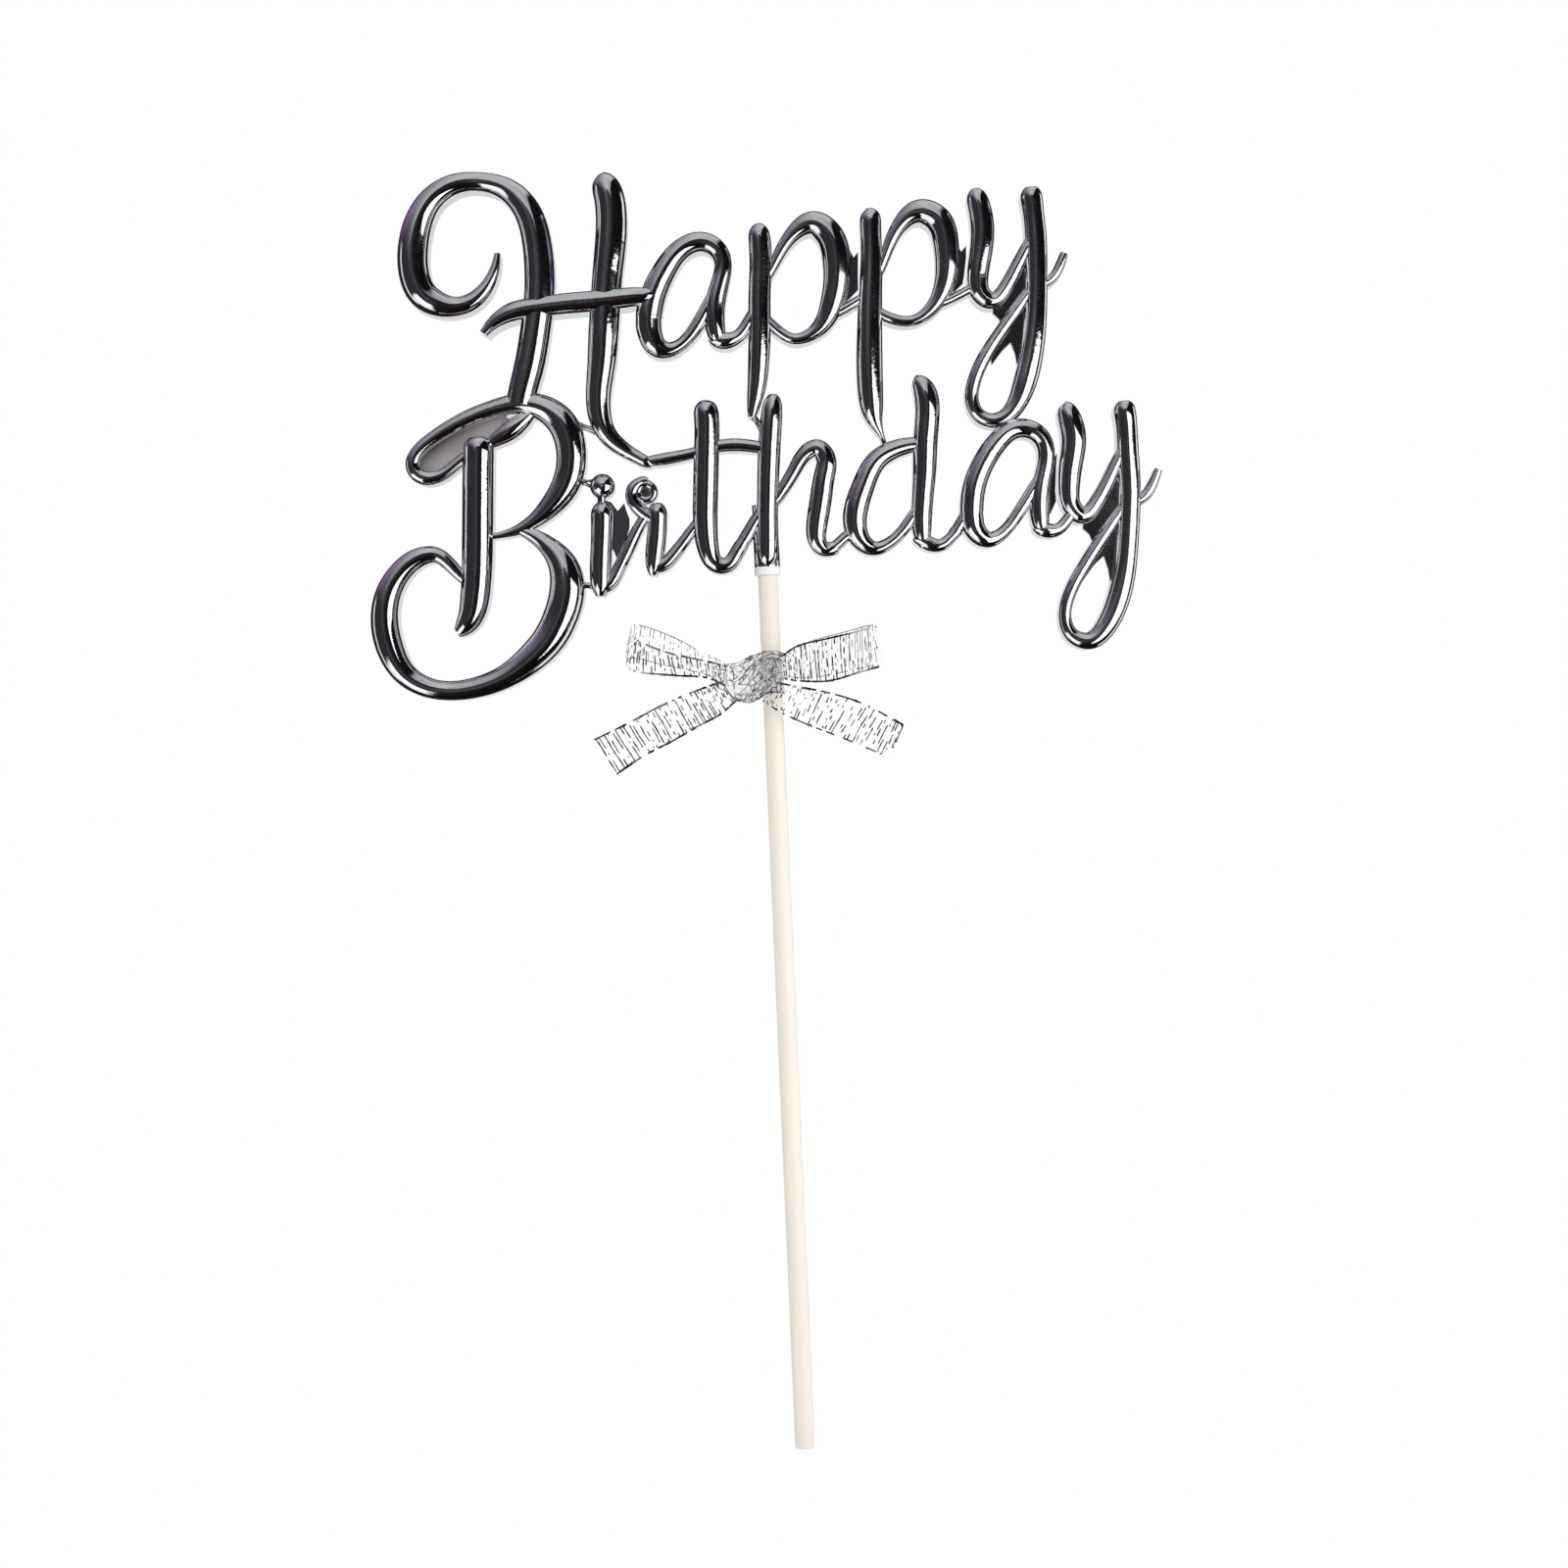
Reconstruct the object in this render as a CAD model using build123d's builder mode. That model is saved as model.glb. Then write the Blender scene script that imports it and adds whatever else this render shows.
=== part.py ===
"""Cake topper: plated script lettering on a round stick, with a ribbon bow tied round the stick.

The origin is the centre of the stick's lower end. The stick stands along +Z and the lettering faces -Y.
"""

import os
from math import cos, radians, sin

from build123d import *

os.makedirs("parts", exist_ok=True)

# Stick
STICK_DIAMETER = 3.0
STICK_SHOWING = 133.8
STICK_EDGE = 0.15
TIE_DEPTH = 0.2

# Socket in the back of the letter h
SOCKET_DEPTH = 10.0
SOCKET_WALL = 0.45
SOCKET_ROOF = 0.8
SOCKET_FIT = 0.05
CUT_OVERRUN = 1.0

# Lettering
LETTERING_WIDTH = 121.0
LETTER_WALL = 3.6
LETTER_BACK = 2.0
CROSSBAR_LIFT = 1.0
STEM_RECESS = 0.1
STATION_STEP = 1.1
WEB_FRONT = 0.1
WEB_THICKNESS = 1.2
DOME_SHARE = 0.9
DOT_DOME_SHARE = 0.75

# Ribbon
RIBBON_WIDTH = 6.4
RIBBON_THICKNESS = 0.3
BOW_SPAN = 47.0
BOW_DROP = 15.5
WRAP_FIT = 0.1
WRAP_THICKNESS = 0.35
WRAP_HEIGHT = 5.6
KNOT_LENGTH = 10.0
KNOT_HEIGHT = 6.2
KNOT_DEPTH = 3.6
KNOT_OFFSET = 3.4
LOOP_DEPTH = 2.6
RIBBON_STANDOFF = 0.35

# Places read off the photograph, in its pixels, and the angle at which the stick leans there
LETTERING_WIDTH_PX = 806
HEAVY_STROKE_PX = 32
BOW_SPAN_PX = 313
SOCKET_RIM_PX = (783.2, 587)
BOW_CENTRE_PX = (787.6, 690)
STICK_LEAN = radians(2.46)

# Strokes of the letters: photograph pixels across and down, then the stroke's width in pixels
CAPITAL_H_SWASH_PX = [
    (508, 260, 6), (505, 277, 10), (495, 297, 15), (480, 310, 18), (465, 314, 20), (450, 312, 25),
    (432, 301, 30), (423, 280, 31), (422, 256, 31), (427, 230, 29), (439, 207, 25), (463, 190, 21),
    (490, 187, 19), (518, 195, 23), (539, 218, 28), (548, 248, 30), (551, 280, 31), (550, 312, 31),
    (546, 343, 31), (541, 372, 31), (536, 392, 30), (531, 414, 29),
]
CAPITAL_H_STEM_PX = [
    (613, 180, 9), (614.5, 183, 19), (617, 189, 27), (621, 200, 31), (624, 222, 32), (623, 252, 32),
    (620, 282, 31), (618, 312, 31), (616, 342, 31), (614, 372, 29), (611, 400, 26), (612, 424, 24),
    (620, 444, 20), (635, 458, 16), (650, 467, 13), (661, 473, 11), (666, 475.5, 6),
]
CAPITAL_H_LINK_PX = [(657, 472, 8), (673, 470, 12), (690, 467, 12), (716, 461, 12)]
CAPITAL_H_BAR_PX = [
    (495, 343, 9), (507, 330, 14), (523, 321, 19), (547, 316, 20), (580, 312, 21), (615, 309, 21),
    (642, 306, 20), (658, 304.6, 17), (666, 304, 12), (670, 303.8, 5),
]
FIRST_A_PX = [
    (735, 354, 11), (731, 341, 19), (729, 322, 21), (732, 300, 20), (737, 280, 18), (737, 265, 18),
    (729, 253, 19), (714, 248, 20), (696, 255, 21), (677, 279, 24), (667, 301, 26), (662, 325, 27),
    (664, 344, 25), (671, 355, 22), (683, 358, 16), (697, 351, 13), (709, 337, 14), (720, 318, 14),
    (730, 298, 11),
]
FIRST_A_EXIT_PX = [(726, 345, 10), (740, 349, 17), (752, 345, 14), (762, 333, 13), (775, 314, 12)]
FIRST_P_STEM_PX = [
    (773, 230, 7), (773.4, 232.5, 14), (774, 237, 20), (775, 246, 23), (776, 270, 23), (775, 300, 23),
    (775, 340, 23), (774, 370, 22), (772, 396, 19), (769, 414, 14), (767, 427, 8),
]
FIRST_P_BOWL_PX = [
    (780, 288, 9), (794, 262, 12), (808, 241, 16), (829, 229, 24), (846, 241, 28), (853, 263, 29),
    (853, 290, 27), (848, 313, 24), (838, 333, 18), (824, 344, 13), (810, 347, 11), (797, 341, 11),
    (780, 326, 10),
]
FIRST_P_LINK_PX = [(846, 324, 9), (858, 318, 10), (867, 313, 10), (884, 302, 9)]
SECOND_P_STEM_PX = [
    (887, 214.5, 7), (887.2, 217, 14), (887.6, 221.5, 20), (888, 232, 22), (889, 262, 22),
    (888, 300, 24), (887, 340, 26), (887, 375, 27), (888, 402, 26), (890, 420, 22), (894, 434, 13),
    (899, 445, 6), (903, 458, 6),
]
SECOND_P_BOWL_PX = [
    (890, 290, 9), (905, 256, 12), (917, 232, 16), (938, 217, 24), (957, 226, 27), (965, 250, 26),
    (966, 275, 24), (960, 300, 19), (948, 318, 14), (932, 328, 11), (915, 328, 11), (892, 316, 10),
]
SECOND_P_LINK_PX = [(958, 311, 9), (970, 306, 9), (980, 301, 9), (996, 292, 9)]
FIRST_Y_ARM_PX = [
    (992, 195, 7), (993.2, 197.5, 15), (995.4, 202.5, 20.5), (998.6, 212, 23), (1002, 236, 24),
    (1000, 262, 23), (997, 284, 22), (1001, 302, 20), (1012, 308, 17), (1024, 297, 15),
    (1035, 277, 14), (1046, 256, 13), (1057, 238, 12),
]
FIRST_Y_STEM_PX = [
    (1049.6, 193, 10), (1050, 195, 17), (1051, 199.5, 21.5), (1053, 212, 22), (1056, 240, 22),
    (1057, 272, 22), (1057, 305, 22), (1055, 340, 23), (1051, 368, 24), (1045, 392, 24),
    (1036, 414, 20), (1024, 427, 17), (1010, 430, 15), (997, 423, 14), (991, 408, 14), (994, 388, 14),
    (1003, 367, 14), (1016, 346, 13), (1030, 326, 13), (1049, 299, 11),
]
FIRST_Y_FLICK_PX = [(1060, 291, 9), (1072, 286, 10), (1080, 274, 10), (1085, 260, 8)]
CAPITAL_B_STEM_PX = [
    (489, 447, 14), (489, 449.5, 24), (488.9, 454.5, 30), (488.7, 466, 32), (488.4, 490, 32),
    (488.2, 515, 32), (488, 540, 32), (487.8, 565, 32), (487, 590, 31), (485, 612, 30),
    (480.5, 630, 26), (474, 640, 20), (467, 646, 10),
]
CAPITAL_B_TOP_PX = [
    (484, 462, 10), (462, 478, 12), (445, 488, 13), (430, 487, 15), (422, 476, 15), (427, 462, 14),
    (440, 450, 14), (455, 440, 15), (478, 428, 17), (504, 418, 18), (533, 413, 22), (556, 418, 27),
    (574, 433, 31), (583, 460, 31), (578, 494, 29), (563, 516, 23), (547, 531, 16), (530, 541, 11),
    (514, 546, 7), (494, 549, 7),
]
CAPITAL_B_BOWL_PX = [
    (527, 541, 7), (544, 547, 14), (562, 560, 22), (575, 578, 31), (579, 601, 36), (573, 628, 36),
    (560, 653, 34), (541, 673, 30), (519, 689, 25), (493, 700, 22), (464, 705, 20), (435, 701, 21),
    (413, 687, 24), (398, 660, 28), (393, 632, 28), (397, 606, 26), (408, 586, 23), (427, 570, 20),
    (446, 567, 16), (460, 577, 14), (478, 594, 10),
]
CAPITAL_B_BEAD_PX = [(497, 456, 9), (509, 448, 16), (521, 440, 20), (533, 431, 17), (545, 420, 9)]
LETTER_I_STEM_PX = [
    (614, 513.5, 8), (614, 516, 15), (614.3, 520, 20.5), (614.6, 530, 23), (614, 555, 22),
    (613, 585, 22), (613, 600, 18), (613, 609, 9),
]
LETTER_I_EXIT_PX = [
    (609, 599, 12), (621, 597, 14), (631, 582, 13), (641, 561, 13), (649, 544, 12), (663, 522, 10),
]
LETTER_I_NECK_PX = [(614, 500, 8), (614, 522, 8)]
LETTER_I_DOT_PX = (615, 497, 25)
LETTER_R_SHOULDER_PX = [
    (661, 492, 7), (651, 494, 11), (645, 503, 13), (648, 515, 14), (658, 525, 14), (671, 533, 12),
]
LETTER_R_STEM_PX = [
    (671, 514, 8), (671, 516.5, 14), (671, 520.5, 18.5), (671, 530, 20), (670, 550, 20),
    (668, 568, 19), (667, 581, 14), (667, 588, 7),
]
LETTER_R_EXIT_PX = [(663, 577, 11), (676, 577, 14), (688, 566, 13), (698, 553, 12), (716, 530, 11)]
LETTER_R_RING_PX = (659, 503, 16.4, 8.6)
LETTER_T_STEM_PX = [
    (719.5, 410, 9), (719.7, 412.5, 18), (720.2, 417.5, 24), (721, 428, 26), (721, 460, 26),
    (720, 500, 26), (720, 540, 25), (723, 562, 22), (731, 576, 18), (742, 577, 16), (751, 566, 15),
    (760, 551, 14), (780, 520, 12),
]
LETTER_T_BAR_PX = [(722, 459, 12), (742, 455, 13), (757, 455, 13), (782, 459, 12)]
LETTER_H_STEM_PX = [
    (789.5, 403.5, 7), (789.2, 406, 13), (788.6, 411, 18), (787.6, 421, 21.5), (786, 440, 23),
    (784, 480, 23), (783, 520, 22), (783, 560, 22), (783, 571, 19), (783, 577, 12),
]
LETTER_H_ARCH_PX = [
    (785, 519, 9), (798, 501, 13), (810, 481, 14), (821, 464, 16), (833, 458, 18), (842, 467, 20),
    (841, 486, 22), (837, 512, 23), (833, 538, 22), (835, 555, 18), (843, 562, 14), (852, 558, 12),
    (870, 544, 11),
]
LETTER_D_BOWL_PX = [
    (944, 454, 12), (916, 458, 18), (895, 470, 21), (880, 498, 24), (872, 530, 25), (877, 550, 21),
    (891, 560, 15), (908, 554, 12), (923, 539, 12), (940, 515, 11),
]
LETTER_D_STEM_PX = [
    (932, 387.5, 7), (935, 389.5, 14), (939.5, 394, 20), (944, 403, 24), (946, 420, 25),
    (944, 450, 25), (943, 480, 24), (941, 510, 22), (940, 532, 21), (941, 548, 17), (943, 559, 9),
]
LETTER_D_EXIT_PX = [
    (934, 547, 10), (947, 555, 15), (958, 557, 13), (968, 551, 12), (976, 541, 12), (992, 518, 11),
]
SECOND_A_PX = [
    (1064, 546, 10), (1061, 533, 18), (1060, 513, 20), (1063, 490, 18), (1067, 467, 17), (1063, 449, 18),
    (1050, 439, 19), (1034, 439, 20), (1017, 452, 22), (1002, 475, 23), (993, 500, 24), (991, 522, 24),
    (995, 542, 22), (1007, 551, 17), (1024, 543, 13), (1038, 525, 13), (1050, 506, 13), (1062, 486, 11),
]
SECOND_A_EXIT_PX = [(1056, 537, 10), (1068, 542, 15), (1078, 541, 13), (1086, 534, 12), (1098, 520, 11)]
SECOND_Y_ARM_PX = [
    (1084.5, 413, 7), (1086, 415.5, 15), (1088, 420.5, 20.5), (1091.5, 430, 24), (1095, 448, 25),
    (1092, 475, 24), (1090, 500, 22), (1094, 519, 19), (1104, 527, 17), (1116, 516, 15),
    (1127, 497, 14), (1137, 476, 13), (1153, 450, 12),
]
SECOND_Y_STEM_PX = [
    (1144.6, 410.5, 10), (1145, 412.5, 16.5), (1146, 417, 21), (1148, 429, 22), (1150, 460, 22),
    (1152, 500, 22), (1151, 535, 22), (1149, 566, 22), (1145, 594, 23), (1138, 619, 23),
    (1127, 641, 21), (1111, 654, 18), (1094, 649, 15), (1086, 631, 13), (1090, 608, 13),
    (1103, 582, 13), (1118, 558, 13), (1132, 537, 12), (1151, 510, 11),
]
SECOND_Y_FLICK_PX = [(1155, 513, 9), (1168, 506, 11), (1176, 493, 10), (1181, 480, 8)]

# Webs: thin plates moulded between strokes that run close together, as corners in photograph pixels
LETTER_WEBS_PX = {
    "first_p": [
        [(858, 244), (865, 250), (871, 262), (875.5, 256), (875.5, 295), (868, 303), (858, 312)],
    ],
    "second_p": [
        [
            (964, 232), (975, 246), (981, 256), (986, 250), (986, 262), (984, 280), (982.5, 289),
            (974, 297), (962, 298),
        ],
    ],
    "first_y": [
        [
            (1040, 268), (1054, 262), (1054, 296), (1040, 312), (1028, 328), (1023, 334), (1019.5, 325),
            (1013, 319), (1014, 314), (1026, 296),
        ],
        [
            (1046, 303), (1056, 300), (1046, 378), (1039, 378), (1036, 361), (1031.5, 349), (1023, 357),
            (1012, 372), (1011, 364), (1026, 336), (1034, 322),
        ],
    ],
    "capital_b": [
        [
            (424, 474), (429, 462), (441, 451), (456, 441), (479, 429), (505, 420), (522, 428),
            (508, 447), (490, 460), (470, 473), (450, 486), (434, 487),
        ],
    ],
    "letter_i": [
        [
            (616, 510), (623, 512), (630, 521), (636.5, 513), (638.5, 520), (642, 529),
            (642, 538), (638, 552), (630, 572), (620, 548),
        ],
    ],
    "second_a": [
        [
            (1064, 452), (1070, 458), (1075, 468), (1079, 462), (1078, 475), (1077, 500), (1078, 511),
            (1072, 524), (1060, 520),
        ],
    ],
    "second_y": [
        [
            (1133, 487), (1148, 480), (1148, 512), (1134, 532), (1121, 550), (1116, 556), (1112, 545),
            (1105, 539), (1106, 533), (1119, 514),
        ],
        [
            (1140, 525), (1150, 522), (1142, 598), (1134, 598), (1131, 580), (1126.5, 567), (1117, 576),
            (1105, 593), (1104, 585), (1119, 556), (1128, 543),
        ],
    ],
}

# Ribbon: photograph pixels across and down, then depth and width as shares of the ribbon's own sizes
KNOT_SECTION_SHARES = [(-0.5, 0.55), (-0.32, 0.9), (0.0, 1.0), (0.28, 0.92), (0.5, 0.6)]
LOOP_PLAN_SHARES = [
    (0.0, 0.55), (0.2, 0.88), (0.5, 1.0), (0.82, 0.95), (1.0, 0.5), (0.82, 0.05), (0.5, 0.0), (0.2, 0.12), (0.0, 0.35),
]
LOOP_WIDTH_SHARES = [(-0.1, 0.5), (0.1, 0.62), (0.4, 0.94), (0.75, 1.0), (1.2, 1.0)]
TAIL_SHARES = [(0.0, 0.5, 0.6), (0.2, 0.45, 0.9), (0.45, 0.65, 1.0), (0.75, 0.4, 1.0), (1.0, 0.5, 1.0)]
LEFT_LOOP_PX = ((741, 686), (645, 661))
RIGHT_LOOP_PX = ((796, 683), (897, 659))
LEFT_TAIL_PX = ((752, 706), (619, 772))
RIGHT_TAIL_PX = ((778, 706), (914, 755))


# Each letter's strokes: a path, its first and last point, how far the stroke stands in front of the rest,
# and for one stem how far its back is set in. A stroke that runs on into the next letter stops at a shared
# point, and the next letter takes it from there.
LETTER_STROKES = {
    "capital_h": [
        (CAPITAL_H_SWASH_PX, 0, 20, 0),
        (CAPITAL_H_STEM_PX, 0, 16, 0),
        (CAPITAL_H_LINK_PX, 0, 1, 0),
        (CAPITAL_H_BAR_PX, 0, 6, CROSSBAR_LIFT),
    ],
    "first_a": [
        (FIRST_A_PX, 0, 11, 0),
        (FIRST_A_PX, 11, 18, 0),
        (FIRST_A_EXIT_PX, 0, 2, 0),
        (CAPITAL_H_BAR_PX, 6, 9, CROSSBAR_LIFT),
    ],
    "first_p": [
        (FIRST_P_STEM_PX, 0, 10, 0),
        (FIRST_P_BOWL_PX, 0, 6, 0),
        (FIRST_P_BOWL_PX, 6, 12, 0),
        (FIRST_A_EXIT_PX, 2, 4, 0),
        (FIRST_P_LINK_PX, 0, 2, 0),
    ],
    "second_p": [
        (SECOND_P_STEM_PX, 0, 11, 0),
        (SECOND_P_BOWL_PX, 0, 6, 0),
        (SECOND_P_BOWL_PX, 6, 11, 0),
        (FIRST_P_LINK_PX, 2, 3, 0),
        (SECOND_P_LINK_PX, 0, 2, 0),
    ],
    "first_y": [
        (FIRST_Y_STEM_PX, 0, 12, 0),
        (FIRST_Y_STEM_PX, 12, 19, 0),
        (FIRST_Y_ARM_PX, 0, 12, 0),
        (FIRST_Y_FLICK_PX, 0, 3, 0),
        (SECOND_P_LINK_PX, 2, 3, 0),
    ],
    "capital_b": [
        (CAPITAL_B_STEM_PX, 0, 12, 0, STEM_RECESS),
        (CAPITAL_B_TOP_PX, 0, 19, 0),
        (CAPITAL_B_BOWL_PX, 0, 20, 0),
        (CAPITAL_B_BEAD_PX, 0, 4, 0),
        (CAPITAL_H_SWASH_PX, 20, 21, 0),
    ],
    "letter_i": [
        (LETTER_I_STEM_PX, 0, 7, 0),
        (LETTER_I_EXIT_PX, 0, 4, 0),
        (LETTER_I_NECK_PX, 0, 1, 0),
    ],
    "letter_r": [
        (LETTER_R_STEM_PX, 0, 7, 0),
        (LETTER_R_SHOULDER_PX, 0, 5, 0),
        (LETTER_R_EXIT_PX, 0, 3, 0),
        (LETTER_I_EXIT_PX, 4, 5, 0),
    ],
    "letter_t": [
        (LETTER_T_STEM_PX, 0, 11, 0),
        (LETTER_T_BAR_PX, 0, 2, 0),
        (CAPITAL_H_LINK_PX, 1, 3, 0),
        (LETTER_R_EXIT_PX, 3, 4, 0),
    ],
    "letter_h": [
        (LETTER_H_STEM_PX, 0, 9, 0),
        (LETTER_H_ARCH_PX, 0, 11, 0),
        (LETTER_T_BAR_PX, 2, 3, 0),
        (LETTER_T_STEM_PX, 11, 12, 0),
    ],
    "letter_d": [
        (LETTER_D_STEM_PX, 0, 10, 0),
        (LETTER_D_BOWL_PX, 0, 4, 0),
        (LETTER_D_BOWL_PX, 4, 9, 0),
        (LETTER_D_EXIT_PX, 0, 4, 0),
        (LETTER_H_ARCH_PX, 11, 12, 0),
        (SECOND_P_STEM_PX, 11, 12, 0),
    ],
    "second_a": [
        (SECOND_A_PX, 0, 11, 0),
        (SECOND_A_PX, 11, 17, 0),
        (SECOND_A_EXIT_PX, 0, 3, 0),
        (LETTER_D_EXIT_PX, 4, 5, 0),
    ],
    "second_y": [
        (SECOND_Y_STEM_PX, 0, 11, 0),
        (SECOND_Y_STEM_PX, 11, 18, 0),
        (SECOND_Y_ARM_PX, 0, 12, 0),
        (SECOND_Y_FLICK_PX, 0, 3, 0),
        (SECOND_A_EXIT_PX, 3, 4, 0),
    ],
}

# Sizes that follow from the ones above
STICK_RADIUS = STICK_DIAMETER / 2
STICK_LENGTH = STICK_SHOWING + SOCKET_DEPTH
BORE_RADIUS = STICK_RADIUS + SOCKET_FIT
SOCKET_RADIUS = BORE_RADIUS + SOCKET_WALL
HEAVY_STROKE = LETTERING_WIDTH * HEAVY_STROKE_PX / LETTERING_WIDTH_PX
LETTER_SHOULDER = LETTER_BACK - LETTER_WALL
BOW_HEIGHT = STICK_SHOWING - BOW_DROP
WRAP_INNER = STICK_RADIUS + WRAP_FIT
WRAP_OUTER = WRAP_INNER + WRAP_THICKNESS
BOW_BACK = -STICK_RADIUS - RIBBON_STANDOFF
QUARTER_TURN = radians(90)


def at_pixel(place_px, anchor_px, anchor_height, scale):
    """The point of the XZ plane that a pixel shows, from a pixel whose height on the stick's axis is known."""
    across = place_px[0] - anchor_px[0]
    down = place_px[1] - anchor_px[1]
    x = across * cos(STICK_LEAN) - down * sin(STICK_LEAN)
    z = -across * sin(STICK_LEAN) - down * cos(STICK_LEAN)
    return Vector(x * scale, 0, anchor_height + z * scale)


def letter_point(u, v):
    """A point of the lettering."""
    return at_pixel((u, v), SOCKET_RIM_PX, STICK_SHOWING, LETTERING_WIDTH / LETTERING_WIDTH_PX)


def bow_point(u, v):
    """A point of the bow."""
    return at_pixel((u, v), BOW_CENTRE_PX, BOW_HEIGHT, BOW_SPAN / BOW_SPAN_PX)


def half_width(width_px):
    """Half the width of a stroke."""
    return width_px * HEAVY_STROKE / HEAVY_STROKE_PX / 2


def headings(points):
    """The direction of travel at each point of a path, weighted towards the nearer neighbour."""
    directions = [(points[1] - points[0]).normalized()]
    for before, here, after in zip(points, points[1:], points[2:]):
        reach_in = (here - before).length
        reach_out = (after - here).length
        turn = (here - before) * (reach_out / reach_in) + (after - here) * (reach_in / reach_out)
        directions.append(turn.normalized())
    directions.append((points[-1] - points[-2]).normalized())
    return directions


def stroke(path_px, first, last, lift, recess=0):
    """One pen stroke between two points of its path: a flat back, straight side walls and a domed front.

    The path is a smooth curve whose depth is half the stroke's width, so that place and width change together."""
    marks = [letter_point(u, v) + Vector(0, half_width(width), 0) for u, v, width in path_px]
    with BuildLine():
        path = Spline(*marks)
    start, finish = (path.param_at_point(marks[index]) for index in (first, last))
    stations = max(2, round((finish - start) * path.length / STATION_STEP))
    shoulder = LETTER_SHOULDER - lift
    back = LETTER_BACK - recess
    with BuildPart() as solid:
        for station in range(stations + 1):
            share = start + (finish - start) * station / stations
            mark, travel = path.position_at(share), path.tangent_at(share)
            half = mark.Y
            heading = Vector(travel.X, 0, travel.Z)
            across = Vector(0, 1, 0).cross(heading)
            with BuildSketch(Plane((mark.X, 0, mark.Z), x_dir=across, z_dir=heading)):
                with BuildLine():
                    Polyline((-half, shoulder), (-half, back), (half, back), (half, shoulder))
                    ThreePointArc((half, shoulder), (0, shoulder - DOME_SHARE * half), (-half, shoulder))
                make_face()
        loft()
    return solid.part


def web(corners_px):
    """A thin flat web, set back behind the strokes that it joins."""
    corners = [letter_point(u, v) for u, v in corners_px]
    with BuildPart() as plate:
        with BuildSketch(Plane.XZ.offset(-WEB_FRONT)):
            with BuildLine():
                Polyline(*[(corner.X, corner.Z) for corner in corners], close=True)
            make_face()
        extrude(amount=-WEB_THICKNESS)
    return plate.part


def strokes_of(name):
    """The strokes and webs that one letter is moulded from."""
    webs = [web(plan) for plan in LETTER_WEBS_PX.get(name, [])]
    return [stroke(*span) for span in LETTER_STROKES[name]] + webs


def ribbon_loop(ends_px, knot_end):
    """A loop of ribbon: its bent plan, cut to the width that it has from the front and to the knot's end."""
    start = bow_point(*ends_px[0])
    run = bow_point(*ends_px[1]) - start
    across = Vector(0, 1, 0).cross(run).normalized()
    plan = [(run.length * along, LOOP_DEPTH * forward - BOW_BACK) for along, forward in LOOP_PLAN_SHARES]
    upper = [(run.length * along, RIBBON_WIDTH * width / 2) for along, width in LOOP_WIDTH_SHARES]
    lower = [(along, -across_half) for along, across_half in reversed(upper)]
    with BuildPart() as loop:
        with BuildSketch(Plane(start, x_dir=run, z_dir=across)):
            with BuildLine() as bend:
                Spline(*plan)
            trace(bend.line, line_width=RIBBON_THICKNESS)
        extrude(amount=RIBBON_WIDTH / 2, both=True)
        with BuildSketch(Plane(start, x_dir=run, z_dir=(0, 1, 0))):
            with BuildLine():
                Spline(*upper)
                Line(upper[-1], lower[0])
                Spline(*lower)
                Line(lower[-1], upper[0])
            make_face()
        extrude(amount=BOW_SPAN, both=True, mode=Mode.INTERSECT)
        split(bisect_by=knot_end)
    return loop.part


def ribbon_tail(ends_px):
    """A tail of ribbon: it starts inside the knot and waves a little on its way to the cut end."""
    start = bow_point(*ends_px[0])
    run = bow_point(*ends_px[1]) - start
    across = Vector(0, 1, 0).cross(run).normalized()
    depths = [LOOP_DEPTH * forward - BOW_BACK for along, forward, width in TAIL_SHARES]
    points = [start + run * station[0] - Vector(0, depth, 0) for station, depth in zip(TAIL_SHARES, depths)]
    with BuildPart() as tail:
        for point, direction, station in zip(points, headings(points), TAIL_SHARES):
            with BuildSketch(Plane(point, x_dir=across, z_dir=direction)):
                Rectangle(RIBBON_WIDTH * station[2], RIBBON_THICKNESS)
        loft()
    return tail.part


def write(part, name):
    """Labels a finished piece and writes its file."""
    part.label = name
    export_step(part, f"parts/{name}.step")


# Stick: a round rod with lightly broken edges, drawn in a little where the ribbon is tied round it
with BuildPart() as stick:
    with BuildSketch():
        Circle(STICK_RADIUS)
    extrude(amount=STICK_LENGTH)
    chamfer(stick.edges().filter_by(GeomType.CIRCLE), length=STICK_EDGE)
    with BuildSketch(Plane.XY.offset(BOW_HEIGHT - WRAP_HEIGHT / 2)):
        Circle(STICK_DIAMETER)
        Circle(STICK_RADIUS - TIE_DEPTH, mode=Mode.SUBTRACT)
    extrude(amount=WRAP_HEIGHT, mode=Mode.SUBTRACT)
write(stick.part, "stick")

# Letters that are strokes alone
for letter_name in LETTER_STROKES:
    if letter_name in ("first_y", "letter_h", "letter_i", "letter_r"):
        continue
    letter_strokes = strokes_of(letter_name)
    with BuildPart() as letter:
        for piece in letter_strokes:
            add(piece)
    write(letter.part, letter_name)
    if letter_name == "second_a":
        second_a = letter.part

# First y: its tail runs into the top of the second a, so it is cut to fit there
y_strokes = strokes_of("first_y")
with BuildPart() as first_y:
    for piece in y_strokes:
        add(piece)
    add(second_a, mode=Mode.SUBTRACT)
write(first_y.part, "first_y")

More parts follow.
